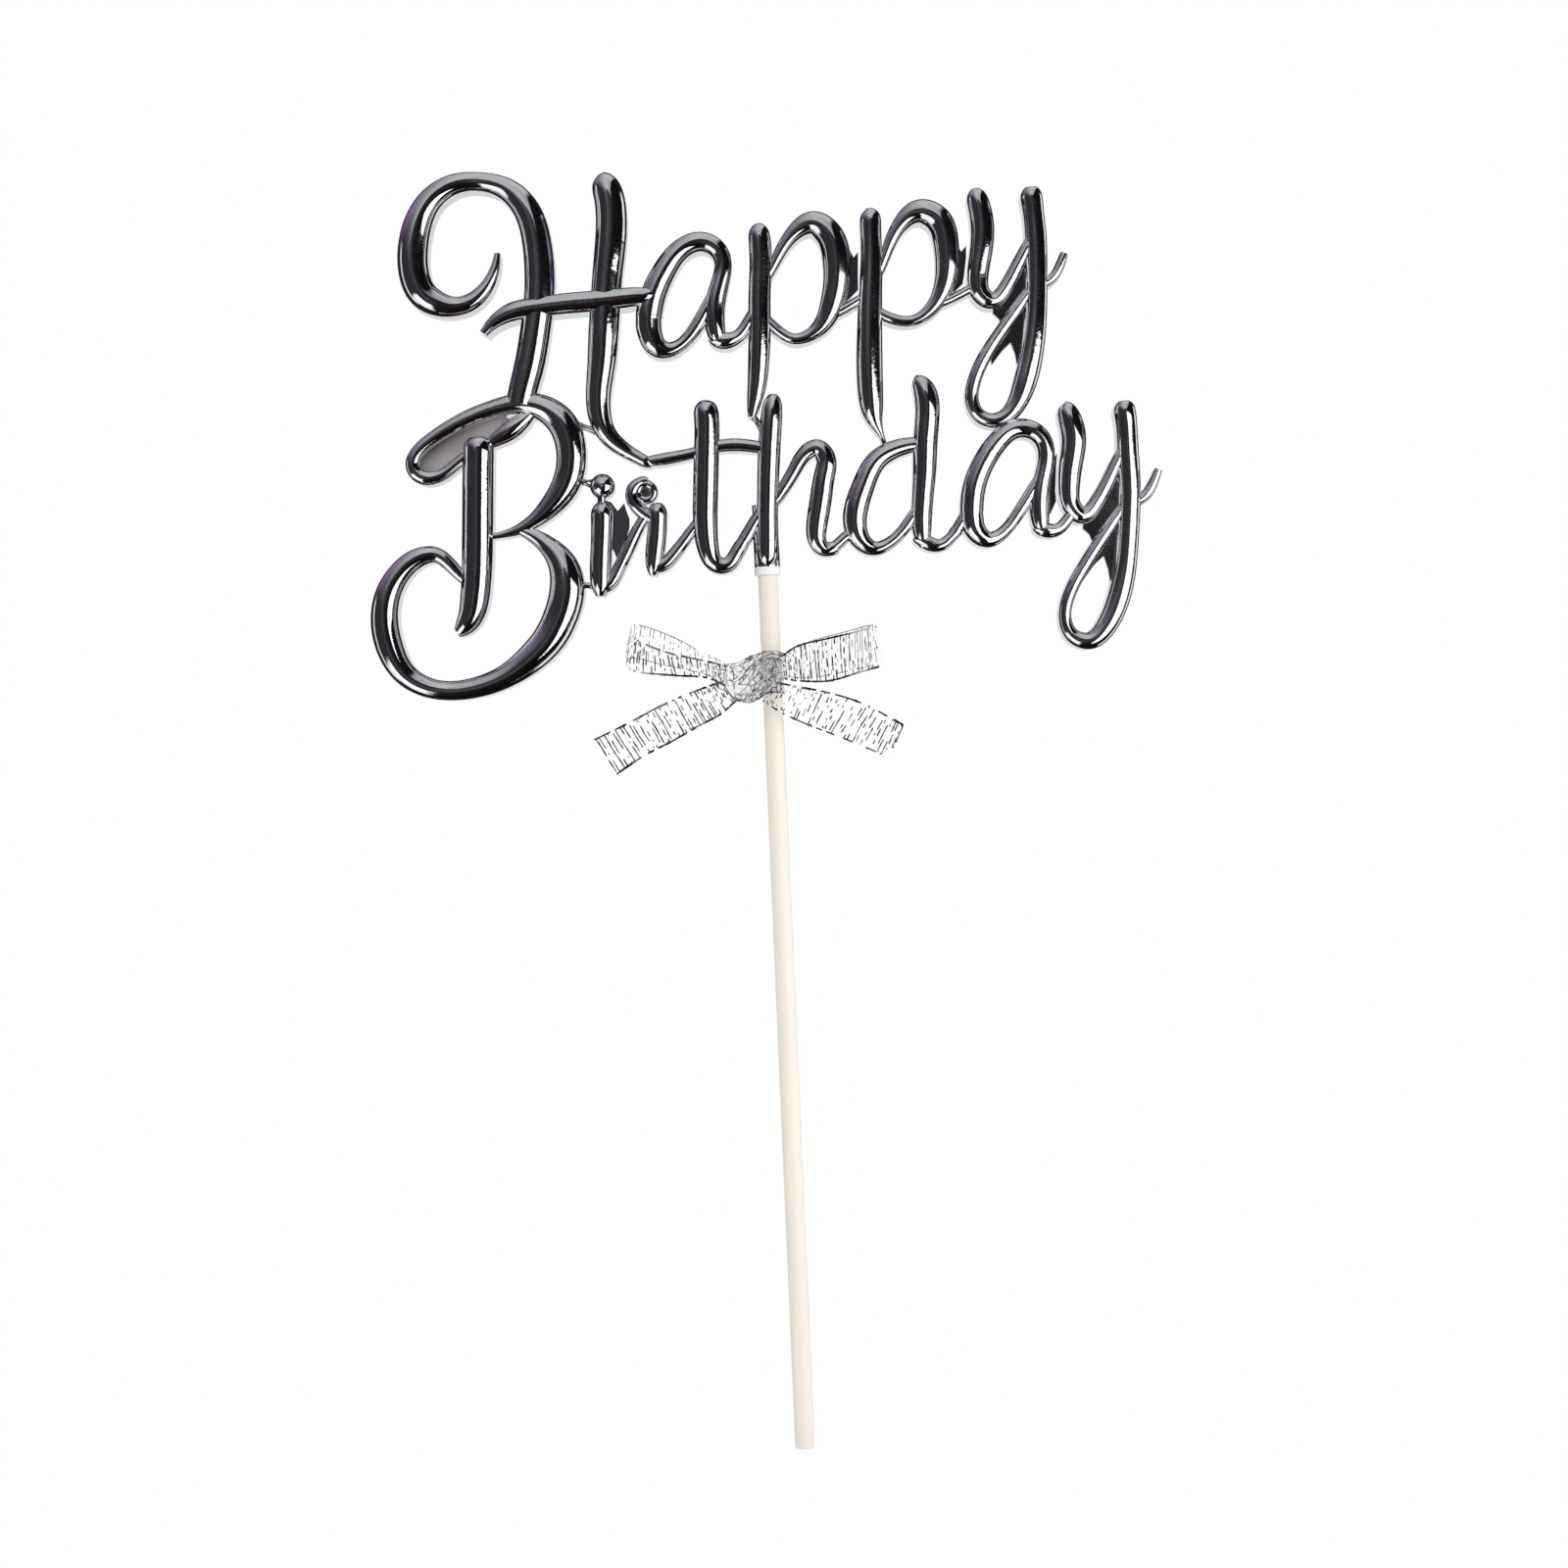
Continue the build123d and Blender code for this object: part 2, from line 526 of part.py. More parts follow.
# Letter h: its stem is thickened into the socket that takes the stick
h_strokes = strokes_of("letter_h")
with BuildPart() as letter_h:
    for piece in h_strokes:
        add(piece)
    with BuildSketch(Plane.XY.offset(STICK_SHOWING)):
        Circle(SOCKET_RADIUS)
    extrude(amount=SOCKET_DEPTH + SOCKET_ROOF)
    with BuildSketch(Plane.XY.offset(STICK_SHOWING - CUT_OVERRUN)):
        Circle(BORE_RADIUS)
    extrude(amount=SOCKET_DEPTH + CUT_OVERRUN, mode=Mode.SUBTRACT)
write(letter_h.part, "letter_h")

# Letter i: its dot is a domed button on a short neck
i_strokes = strokes_of("letter_i")
dot_centre = letter_point(*LETTER_I_DOT_PX[:2])
dot_radius = half_width(LETTER_I_DOT_PX[2])
dot_front = LETTER_SHOULDER - DOT_DOME_SHARE * dot_radius
with BuildPart() as letter_i:
    for piece in i_strokes:
        add(piece)
    with BuildSketch(Plane(dot_centre, x_dir=(1, 0, 0), z_dir=(0, 0, 1))):
        with BuildLine():
            TangentArc((0, dot_front), (dot_radius, LETTER_SHOULDER), tangent=(1, 0))
            Polyline((dot_radius, LETTER_SHOULDER), (dot_radius, LETTER_BACK), (0, LETTER_BACK), (0, dot_front))
        make_face()
    revolve(axis=Axis(dot_centre, (0, 1, 0)))
write(letter_i.part, "letter_i")

# Letter r: its upper end is a small curl with a blind pit in it
r_strokes = strokes_of("letter_r")
ring_centre = letter_point(*LETTER_R_RING_PX[:2])
ring_radius = half_width(LETTER_R_RING_PX[2])
ring_half = half_width(LETTER_R_RING_PX[3])
ring_front = LETTER_SHOULDER - DOME_SHARE * ring_half
ring_inner = ring_radius - ring_half
ring_outer = ring_radius + ring_half
with BuildPart() as letter_r:
    for piece in r_strokes:
        add(piece)
    with BuildSketch(Plane(ring_centre, x_dir=(1, 0, 0), z_dir=(0, 0, 1))):
        with BuildLine():
            Polyline(
                (ring_inner, LETTER_SHOULDER), (ring_inner, WEB_FRONT), (0, WEB_FRONT),
                (0, LETTER_BACK), (ring_outer, LETTER_BACK), (ring_outer, LETTER_SHOULDER),
            )
            ThreePointArc((ring_outer, LETTER_SHOULDER), (ring_radius, ring_front), (ring_inner, LETTER_SHOULDER))
        make_face()
    revolve(axis=Axis(ring_centre, (0, 1, 0)))
write(letter_r.part, "letter_r")

# Ribbon wrap: the turn of ribbon that goes round the stick
with BuildPart() as ribbon_wrap:
    with BuildSketch(Plane.XY.offset(BOW_HEIGHT - WRAP_HEIGHT / 2)):
        Circle(WRAP_OUTER)
        Circle(WRAP_INNER, mode=Mode.SUBTRACT)
    extrude(amount=WRAP_HEIGHT)
write(ribbon_wrap.part, "ribbon_wrap")

# Ribbon knot: a flattened bundle across the front of the wrap
knot_centre = Vector(-KNOT_OFFSET, -STICK_RADIUS - KNOT_DEPTH / 2, BOW_HEIGHT)
with BuildPart() as ribbon_knot:
    for along_share, size_share in KNOT_SECTION_SHARES:
        depth = KNOT_DEPTH * size_share / 2
        height = KNOT_HEIGHT * size_share / 2
        section_centre = knot_centre + Vector(KNOT_LENGTH * along_share, 0, 0)
        with BuildSketch(Plane(section_centre, x_dir=(0, 1, 0), z_dir=(1, 0, 0))):
            with BuildLine():
                for turn in range(4):
                    angles = [QUARTER_TURN * (turn + step) for step in (0, 1 / 2, 1)]
                    ThreePointArc(*[(depth * cos(angle), height * sin(angle)) for angle in angles])
            make_face()
    loft()
    with BuildSketch(Plane.XY.offset(BOW_HEIGHT - KNOT_HEIGHT)):
        Circle(WRAP_OUTER)
    extrude(amount=2 * KNOT_HEIGHT, mode=Mode.SUBTRACT)
write(ribbon_knot.part, "ribbon_knot")

# Loops: each leaves one end of the knot, doubles back and returns to it
knot_left = knot_centre - Vector(KNOT_LENGTH / 2, 0, 0)
knot_right = knot_centre + Vector(KNOT_LENGTH / 2, 0, 0)
write(ribbon_loop(LEFT_LOOP_PX, Plane(knot_left, z_dir=(-1, 0, 0))), "left_loop")
write(ribbon_loop(RIGHT_LOOP_PX, Plane(knot_right, z_dir=(1, 0, 0))), "right_loop")

# Tails: the two cut ends of the ribbon, which come out below the knot
for tail_name, tail_ends_px in (("left_tail", LEFT_TAIL_PX), ("right_tail", RIGHT_TAIL_PX)):
    tail_strip = ribbon_tail(tail_ends_px)
    with BuildPart() as tail_piece:
        add(tail_strip)
        add(ribbon_knot.part, mode=Mode.SUBTRACT)
    write(tail_piece.part, tail_name)
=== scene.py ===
import math
import random

import bpy
from mathutils import Matrix, Vector, noise


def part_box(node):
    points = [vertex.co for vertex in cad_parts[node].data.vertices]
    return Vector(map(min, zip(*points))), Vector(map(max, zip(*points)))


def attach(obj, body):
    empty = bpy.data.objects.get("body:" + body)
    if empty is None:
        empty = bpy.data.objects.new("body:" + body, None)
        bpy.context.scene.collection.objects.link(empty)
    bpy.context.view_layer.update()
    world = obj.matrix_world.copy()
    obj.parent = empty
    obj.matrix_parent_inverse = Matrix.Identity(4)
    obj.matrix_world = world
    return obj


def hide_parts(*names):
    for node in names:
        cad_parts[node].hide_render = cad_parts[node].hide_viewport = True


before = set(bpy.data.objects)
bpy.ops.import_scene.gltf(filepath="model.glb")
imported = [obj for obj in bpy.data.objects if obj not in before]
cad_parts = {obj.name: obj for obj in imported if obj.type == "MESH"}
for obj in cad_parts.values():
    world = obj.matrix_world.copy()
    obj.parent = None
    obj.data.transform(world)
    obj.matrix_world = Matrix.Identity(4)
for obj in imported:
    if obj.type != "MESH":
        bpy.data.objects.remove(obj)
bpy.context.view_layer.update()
bpy.ops.object.select_all(action="DESELECT")


# Stick: a smooth cream lollipop stick of rolled and waxed paper, cut square at the lower end.
# Its upper end is pushed into the socket behind the letter h, and the ribbon is tied round it.
STICK_RADIUS = 0.0015
STICK_SIDES = 64
STICK_EDGE = 0.00015
STICK_EDGE_STEPS = 3
SHARP_ANGLE = math.radians(60)
SMOOTH_ANGLE = math.radians(40)
CREAM = (0.90, 0.845, 0.755, 1)
CREAM_SHADE = (0.84, 0.77, 0.68, 1)
FIBRE_STRETCH = (900, 900, 40)
FIBRE_DETAIL = 5
FIBRE_RELIEF = 0.08
FIBRE_DEPTH = 0.0001
WAX_ROUGHNESS = 0.42

stick_low, stick_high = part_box("stick")
stick_length = stick_high.z - stick_low.z
bpy.ops.mesh.primitive_cylinder_add(
    vertices=STICK_SIDES, radius=STICK_RADIUS, depth=stick_length,
    location=(0, 0, stick_low.z + stick_length / 2),
)
stick = bpy.context.object
stick.name = "cream_stick"
bpy.ops.object.mode_set(mode="EDIT")
bpy.ops.mesh.select_mode(type="EDGE")
bpy.ops.mesh.select_all(action="SELECT")
bpy.ops.mesh.edges_select_sharp(sharpness=SHARP_ANGLE)
bpy.ops.mesh.bevel(offset=STICK_EDGE, segments=STICK_EDGE_STEPS, affect="EDGES")
bpy.ops.object.mode_set(mode="OBJECT")
bpy.ops.object.transform_apply(location=True, rotation=True, scale=True)
bpy.ops.object.shade_smooth_by_angle(angle=SMOOTH_ANGLE)


def new_material(name):
    """An empty node material with a Principled shader, returned with its node tree and shader."""
    material = bpy.data.materials.new(name)
    material.use_nodes = True
    tree = material.node_tree
    return material, tree, tree.nodes["Principled BSDF"]


def feed(node, inputs):
    """Links a node's inputs to the sockets given for them, or sets them to the plain values given."""
    for socket, value in inputs.items():
        if isinstance(value, bpy.types.NodeSocket):
            node.id_data.links.new(value, node.inputs[socket])
        else:
            node.inputs[socket].default_value = value


def add_node(tree, kind, inputs=None, **settings):
    """A new shader node with its settings made and its inputs fed."""
    node = tree.nodes.new("ShaderNode" + kind)
    for setting, value in settings.items():
        setattr(node, setting, value)
    feed(node, inputs or {})
    return node


def stretched_noise(tree, place, stretch, detail):
    """Fine noise that is drawn out along one way of a surface."""
    mapping = add_node(tree, "Mapping", {"Vector": place, "Scale": stretch})
    grain = add_node(tree, "TexNoise", {
        "Vector": mapping.outputs["Vector"], "Scale": 1, "Detail": detail,
    })
    return grain.outputs["Fac"]


def mix_colours(tree, factor, first, second):
    """A mix of two colours, each a socket or a plain colour."""
    mix = add_node(tree, "Mix", {"Factor": factor, "A": first, "B": second}, data_type="RGBA")
    return mix.outputs["Result"]


def relief(tree, height, strength, depth):
    """The normal of a surface with a fine relief."""
    bump = add_node(tree, "Bump", {"Height": height, "Strength": strength, "Distance": depth})
    return bump.outputs["Normal"]


def dress(piece, material):
    """Gives a piece one material all over."""
    piece.data.materials.clear()
    piece.data.materials.append(material)


stick_finish, tree, shader = new_material("cream_waxed_paper")
place = add_node(tree, "TexCoord").outputs["Object"]
fibre = stretched_noise(tree, place, FIBRE_STRETCH, FIBRE_DETAIL)
feed(shader, {
    "Base Color": mix_colours(tree, fibre, CREAM_SHADE, CREAM),
    "Normal": relief(tree, fibre, FIBRE_RELIEF, FIBRE_DEPTH),
    "Roughness": WAX_ROUGHNESS,
})
dress(stick, stick_finish)
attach(stick, "stick")
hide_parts("stick")


# Lettering: one plastic moulding, vacuum plated to a bright silver mirror. Its letters keep the
# shape of the solids, and the plating has a faint ripple and a little haze that comes and goes.
# The rim of the stick socket is bare white plastic with painted shade, darker on its left, and the web
# in the flag of the B is satin with painted shade, nearly black at its upper left.
LETTERS = (
    "capital_h", "first_a", "first_p", "second_p", "first_y", "capital_b", "letter_i",
    "letter_r", "letter_t", "letter_h", "letter_d", "second_a", "second_y",
)
SILVER = (0.83, 0.83, 0.85, 1)
SILVER_DULL = (0.70, 0.69, 0.72, 1)
CLOUD_SCALE = 220
CLOUD_DETAIL = 4
HAZE_CLOUDS = (0.35, 0.75)
HAZE_ROUGHNESS = (0.045, 0.11)
RIPPLE_SCALE = 380
RIPPLE_DETAIL = 1
RIPPLE_RELIEF = 0.03
RIPPLE_DEPTH = 0.0002
CLEAN_ROUGHNESS = 0.06


def range_node(tree, value, given=(0, 1), wanted=(0, 1)):
    """A value taken from one range to another, and held at its ends."""
    node = add_node(tree, "MapRange", {
        "Value": value, "From Min": given[0], "From Max": given[1],
        "To Min": wanted[0], "To Max": wanted[1],
    })
    return node.outputs["Result"]


def math_node(tree, operation, *values):
    """The result of a Math node, fed by sockets or by plain numbers."""
    node = add_node(tree, "Math", dict(enumerate(values)), operation=operation)
    return node.outputs["Value"]


film = bpy.data.node_groups.new("plated_film", "ShaderNodeTree")
film.interface.new_socket("Place", in_out="INPUT", socket_type="NodeSocketVector")
film.interface.new_socket("Colour", in_out="OUTPUT", socket_type="NodeSocketColor")
film.interface.new_socket("Roughness", in_out="OUTPUT", socket_type="NodeSocketFloat")
film.interface.new_socket("Normal", in_out="OUTPUT", socket_type="NodeSocketVector")
place = film.nodes.new("NodeGroupInput").outputs["Place"]
cloud = add_node(film, "TexNoise", {"Vector": place, "Scale": CLOUD_SCALE, "Detail": CLOUD_DETAIL})
cloud = cloud.outputs["Fac"]
ripple = add_node(film, "TexNoise", {"Vector": place, "Scale": RIPPLE_SCALE, "Detail": RIPPLE_DETAIL})
feed(film.nodes.new("NodeGroupOutput"), {
    "Colour": mix_colours(film, cloud, SILVER, SILVER_DULL),
    "Roughness": range_node(film, cloud, HAZE_CLOUDS, HAZE_ROUGHNESS),
    "Normal": relief(film, ripple.outputs["Fac"], RIPPLE_RELIEF, RIPPLE_DEPTH),
})


def plated_material(name):
    """A material plated all over, returned with its tree, shader, Object coordinates and film."""
    material, tree, shader = new_material(name)
    place = add_node(tree, "TexCoord").outputs["Object"]
    coat = add_node(tree, "Group", {"Place": place}, node_tree=film)
    feed(shader, {
        "Base Color": coat.outputs["Colour"], "Roughness": coat.outputs["Roughness"],
        "Normal": coat.outputs["Normal"], "Metallic": 1,
    })
    return material, tree, shader, place, coat


def local_finish_with_painted_shade(name, low, high, slope, span, colours, metallic, roughness):
    """The plating, with another finish inside a box of Object coordinates.

    The colour there runs from one colour to another along a slope, over a span of distances, as painted
    shade."""
    finish, tree, shader, place, coat = plated_material(name)
    parts = add_node(tree, "SeparateXYZ", {"Vector": place})
    along_x, along_y, along_z = (
        math_node(tree, "COMPARE", parts.outputs[axis], (start + end) / 2, (end - start) / 2)
        for axis, start, end in zip("XYZ", low, high)
    )
    inside = math_node(tree, "MULTIPLY", math_node(tree, "MULTIPLY", along_x, along_y), along_z)
    reach = add_node(tree, "VectorMath", {0: place, 1: slope}, operation="DOT_PRODUCT")
    # painted shade: the colour is darker at one side of the box and lighter at the other
    shading = mix_colours(tree, range_node(tree, reach.outputs["Value"], span), *colours)
    feed(shader, {
        "Base Color": mix_colours(tree, inside, coat.outputs["Colour"], shading),
        "Metallic": range_node(tree, inside, wanted=(1, metallic)),
        "Roughness": range_node(tree, inside, wanted=(CLEAN_ROUGHNESS, roughness)),
    })
    return finish


plating = plated_material("silver_plating")[0]
for letter in LETTERS:
    dress(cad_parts[letter], plating)
# painted shade on the bare white socket rim: darker on its left, away from the lamp
dress(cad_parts["letter_h"], local_finish_with_painted_shade(
    "socket_rim_painted_shade", low=(-0.0030, -0.004, 0.1330), high=(0.0030, 0.006, 0.13505),
    slope=(1, 0, 0), span=(-0.002, 0.002),
    colours=((0.86, 0.85, 0.84, 1), (0.94, 0.93, 0.92, 1)), metallic=0.0, roughness=0.35,
))
# painted shade in the recessed web of the B's flag: nearly black at its upper left, pale at its lower
# right
dress(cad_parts["capital_b"], local_finish_with_painted_shade(
    "satin_web_painted_shade", low=(-0.0560, 0.00002, 0.1480), high=(-0.0385, 0.0002, 0.1620),
    slope=(0.57, 0, -0.82), span=(-0.1568, -0.1528),
    colours=((0.030, 0.024, 0.024, 1), (0.80, 0.75, 0.74, 1)), metallic=0.15, roughness=0.40,
))


# Ribbon wrap: the turn of sheer ribbon that is pulled tight round the stick, under the knot.
# The ribbon is a white gauze with pairs of silver threads across it and a heavier silver thread
# along each edge. It is held by the knot alone.
RIBBON_WIDTH = 0.0064
WARP_PITCH_MM, WARP_SHARE = 0.42, 0.22
WEFT_PITCH_MM, WEFT_SHARE = 0.19, 0.30
WEFT_WEIGHT = 0.6
MESH_VEIL = 0.26
OPEN_VEIL = 0.06
GAUZE_WHITE = (0.86, 0.86, 0.88, 1)
GAUZE_ROUGHNESS = 0.55
THREAD_GREY = (0.32, 0.32, 0.34, 1)
THREAD_ROUGHNESS = (0.10, 0.24)
SPARKLE_SCALE = 2600


def weave_mask(tree, coordinate, pitch_mm, share):
    """A mask that is 1 on fine threads at a pitch across one UV coordinate, in millimetres."""
    saw = math_node(tree, "FRACT", math_node(tree, "DIVIDE", coordinate, pitch_mm))
    return math_node(tree, "LESS_THAN", saw, share)


gauze, tree, shader = new_material("white_gauze")
flat_place = add_node(tree, "UVMap", uv_map="UVMap").outputs["UV"]
flat_parts = add_node(tree, "SeparateXYZ", {"Vector": flat_place})
warp = weave_mask(tree, flat_parts.outputs["Y"], WARP_PITCH_MM, WARP_SHARE)
weft = weave_mask(tree, flat_parts.outputs["X"], WEFT_PITCH_MM, WEFT_SHARE)
weave = math_node(tree, "MAXIMUM", warp, math_node(tree, "MULTIPLY", weft, WEFT_WEIGHT))
feed(shader, {
    "Base Color": GAUZE_WHITE,
    "Alpha": math_node(tree, "ADD", math_node(tree, "MULTIPLY", weave, MESH_VEIL), OPEN_VEIL),
    "Roughness": GAUZE_ROUGHNESS,
})

silver_thread, tree, shader = new_material("silver_thread")
place = add_node(tree, "TexCoord").outputs["Object"]
sparkle = add_node(tree, "TexNoise", {"Vector": place, "Scale": SPARKLE_SCALE})
feed(shader, {
    "Base Color": THREAD_GREY,
    "Metallic": 1,
    "Roughness": range_node(tree, sparkle.outputs["Fac"], wanted=THREAD_ROUGHNESS),
})

MM_PER_METRE = 1000
SEAM_GAP = 0.000001


def sheet_normal(surface, s, t):
    """The direction a sheet faces at one place."""
    step = 0.004
    low_s, high_s = max(s - step, 0), min(s + step, 1)
    low_t, high_t = max(t - step, 0), min(t + step, 1)
    run = surface(high_s, t) - surface(low_s, t)
    rise = surface(s, high_t) - surface(s, low_t)
    return run.cross(rise).normalized()


def gauze_sheet(name, surface, length, columns, rows):
    """A sheet of gauze over a surface, with its flat length and width in millimetres as UVs.

    Where the surface closes on itself, the seam is merged."""
    bpy.ops.object.select_all(action="DESELECT")
    bpy.ops.mesh.primitive_grid_add(x_subdivisions=columns, y_subdivisions=rows, size=1)
    sheet = bpy.context.object
    sheet.name = name
    for corner in sheet.data.uv_layers.active.data:
        corner.uv = (corner.uv.x * length * MM_PER_METRE, corner.uv.y * RIBBON_WIDTH * MM_PER_METRE)
    for vertex in sheet.data.vertices:
        vertex.co = surface(vertex.co.x + 0.5, vertex.co.y + 0.5)
    sheet.data.update()
    bpy.ops.object.mode_set(mode="EDIT")
    bpy.ops.mesh.select_all(action="SELECT")
    bpy.ops.mesh.remove_doubles(threshold=SEAM_GAP)
    bpy.ops.object.mode_set(mode="OBJECT")
    bpy.ops.object.shade_smooth()
    dress(sheet, gauze)
    return sheet


# the threads are flat strips that lie in the gauze, a little out of line and twisted
BAR_PITCH = 0.00114
PAIR_GAP = 0.00042
THREAD_WIDTH = 0.00019
EDGE_THREAD_WIDTH = 0.00032
THREAD_THICKNESS = 0.00005
THREAD_STEP = 0.00032
EDGE_SET_IN = 0.0002
DRIFT, DRIFT_SCALE = 0.00010, (900, 0.12)
TWIST, TWIST_SCALE = 0.25, (700, 1100)
DASH_LEVEL, DASH_SCALE = -0.20, (2300, 1500)
PATCH_WEIGHT, PATCH_SCALE = 0.25, (160, 200)
PATCH_SEED_STEP = 9
EDGE_SHOWS_MORE = 0.12
FOLD_WEAR = 0.45
NARROWEST, WIDEST = 0.75, 1.2
FAINT_WIDTH = 0.55
NOWHERE = (2, 2)


def scatter(mark, scale, seed):
    """A smooth random value at a place on a ribbon."""
    return noise.noise(Vector((mark[0] * scale[0], mark[1] * scale[1], seed)))


def within(value, low, high):
    """A value held between two others."""
    return min(max(value, low), high)


def lay_strips(name, runs):
    """Flat thread strips, one for each run of (place, direction, facing, width) stations."""
    corners, faces = [], []
    for run in runs:
        first = len(corners)
        for index, (place, travel, facing, width) in enumerate(run):
            side = facing.cross(travel).normalized()
            wide = side * (width / 2)
            thin = side.cross(travel).normalized() * (THREAD_THICKNESS / 2)
            corners += [place - wide - thin, place + wide - thin]
            corners += [place + wide + thin, place - wide + thin]
            if index:
                here, last = first + 4 * index, first + 4 * (index - 1)
                for edge in range(4):
                    following = (edge + 1) % 4
                    faces.append((last + edge, last + following, here + following, here + edge))
        end = len(corners) - 4
        faces += [(first + 3, first + 2, first + 1, first), (end, end + 1, end + 2, end + 3)]
    mesh = bpy.data.meshes.new(name)
    mesh.from_pydata(corners, [], faces)
    mesh.update()
    thread = bpy.data.objects.new(name, mesh)
    bpy.context.collection.objects.link(thread)
    bpy.ops.object.select_all(action="DESELECT")
    thread.select_set(True)
    bpy.context.view_layer.objects.active = thread
    bpy.ops.object.mode_set(mode="EDIT")
    bpy.ops.mesh.select_all(action="SELECT")
    bpy.ops.mesh.normals_make_consistent(inside=False)
    bpy.ops.object.mode_set(mode="OBJECT")
    dress(thread, silver_thread)
    return thread


def woven_threads(name, surface, length, seed, worn=0.0, faint=NOWHERE, fold=NOWHERE):
    """The silver threads woven into a ribbon: pairs across it, and a heavier one along each edge.

    They dip under the gauze and come up again as dashes, fewer where they are worn, fewer still
    between the two shares of fold, and they are thin between the two shares of faint."""
    inner = RIBBON_WIDTH - 2 * EDGE_SET_IN
    crossing = int(inner / THREAD_STEP)
    stretch = int(length / THREAD_STEP)
    routes = []
    for bar in range(round(length / BAR_PITCH)):
        for offset in (-PAIR_GAP / 2, PAIR_GAP / 2):
            along = (bar + 0.5) * BAR_PITCH + offset
            marks = []
            for step in range(crossing + 1):
                drift = DRIFT * scatter((along, step), DRIFT_SCALE, seed)
                marks.append((along + drift, EDGE_SET_IN + inner * step / crossing))
            routes.append((THREAD_WIDTH, 0.0, marks))
    for across in (EDGE_SET_IN, RIBBON_WIDTH - EDGE_SET_IN):
        marks = [(length * step / stretch, across) for step in range(stretch + 1)]
        routes.append((EDGE_THREAD_WIDTH, EDGE_SHOWS_MORE, marks))

    def shares(mark):
        return within(mark[0] / length, 0, 1), mark[1] / RIBBON_WIDTH

    runs = []
    for width, showing_more, marks in routes:
        runs.append([])
        for index, mark in enumerate(marks):
            s, t = shares(mark)
            showing = scatter(mark, DASH_SCALE, seed)
            showing += PATCH_WEIGHT * scatter(mark, PATCH_SCALE, seed + PATCH_SEED_STEP)
            wear = worn + (FOLD_WEAR if fold[0] < s < fold[1] else 0)
            if showing + showing_more < DASH_LEVEL + wear:
                if runs[-1]:
                    runs.append([])
                continue
            ahead = marks[min(index + 1, len(marks) - 1)]
            behind = marks[max(index - 1, 0)]
            travel = surface(*shares(ahead)) - surface(*shares(behind))
            twist = Matrix.Rotation(TWIST * scatter(mark, TWIST_SCALE, seed), 3, travel)
            width_here = width * min(NARROWEST + max(showing, 0), WIDEST)
            if faint[0] < s < faint[1]:
                width_here = min(width_here, THREAD_WIDTH) * FAINT_WIDTH
            runs[-1].append((surface(s, t), travel, twist @ sheet_normal(surface, s, t), width_here))
    return lay_strips(name, [run for run in runs if len(run) > 1])


def hang_ribbon(name, node, surface, length, seed, columns=96, rows=16, **threading):
    """One stretch of the ribbon: its gauze, which stands for the CAD node, and its threads."""
    sheet = gauze_sheet(name, surface, length, columns, rows)
    thread = woven_threads(name + "_thread", surface, length, seed, **threading)
    for piece in (sheet, thread):
        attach(piece, "bow")
    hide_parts(node)


WRAP_RADIUS = 0.00177
WRAP_PLEATS, WRAP_PLEAT = 11, 0.00006
WRAP_CREASES, WRAP_CREASE = 5, 0.00005
WRAP_SWAY = 0.0001
WRAP_MARGIN = 0.02
WRAP_SEED = 3.1
wrap_low, wrap_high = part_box("ribbon_wrap")


def wrap_surface(s, t):
    """The tight turn round the stick, with shallow pleats round it and creases across it."""
    turn = 2 * math.pi * s
    pleat = WRAP_PLEAT * math.sin(WRAP_PLEATS * t * math.pi + 2 * math.sin(turn))
    crease = WRAP_CREASE * math.sin(WRAP_CREASES * turn + 9 * t)
    radius = WRAP_RADIUS + (pleat + crease)
    height = wrap_low.z + (wrap_high.z - wrap_low.z) * (WRAP_MARGIN + (1 - 2 * WRAP_MARGIN) * t)
    height += WRAP_SWAY * math.sin(2 * turn + 1)
    return Vector((radius * math.sin(turn), radius * math.cos(turn), height))


hang_ribbon("wrap_gauze", "ribbon_wrap", wrap_surface, 2 * math.pi * WRAP_RADIUS, WRAP_SEED)


# Ribbon knot: the gauze drawn together into a tight crumpled bundle across the front of the
# stick, with one turn pulled over it. Its pleats run lengthwise, and its threads are crushed
# every way.
KNOT_TOP_PX = ((726, 682), (741, 679), (755, 676), (768, 671), (780, 666), (791, 665), (803, 669))
KNOT_BOTTOM_PX = ((726, 698), (741, 707), (755, 716), (768, 716), (780, 710), (791, 702), (803, 695))
KNOT_FRONT = (-0.0040, -0.0044, -0.0047, -0.0048, -0.0047, -0.0044, -0.0041)
KNOT_BACK = (-0.0028, -0.0023, -0.0020, -0.0020, -0.0020, -0.0023, -0.0028)
KNOT_LENGTH_MM = 12.5
KNOT_FADE_MM = 3.4
KNOT_PLEATS, KNOT_PLEAT = 13, 0.05
KNOT_CRUMPLE = 0.10
STICK_CLEAR = 0.00199
# the edges of the ribbon are placed by pixels of the picture, from where it crosses the stick
BOW_CENTRE_PX = (787.6, 690)
BOW_HEIGHT = 0.1183
PIXEL_SIZE = 0.00015016
STICK_LEAN = math.radians(2.46)


def pixel_place(u, v, y):
    """The place of a pixel of the picture, at a depth."""
    across = u - BOW_CENTRE_PX[0]
    down = v - BOW_CENTRE_PX[1]
    x = across * math.cos(STICK_LEAN) - down * math.sin(STICK_LEAN)
    z = -across * math.sin(STICK_LEAN) - down * math.cos(STICK_LEAN)
    return Vector((PIXEL_SIZE * x, y, BOW_HEIGHT + PIXEL_SIZE * z))


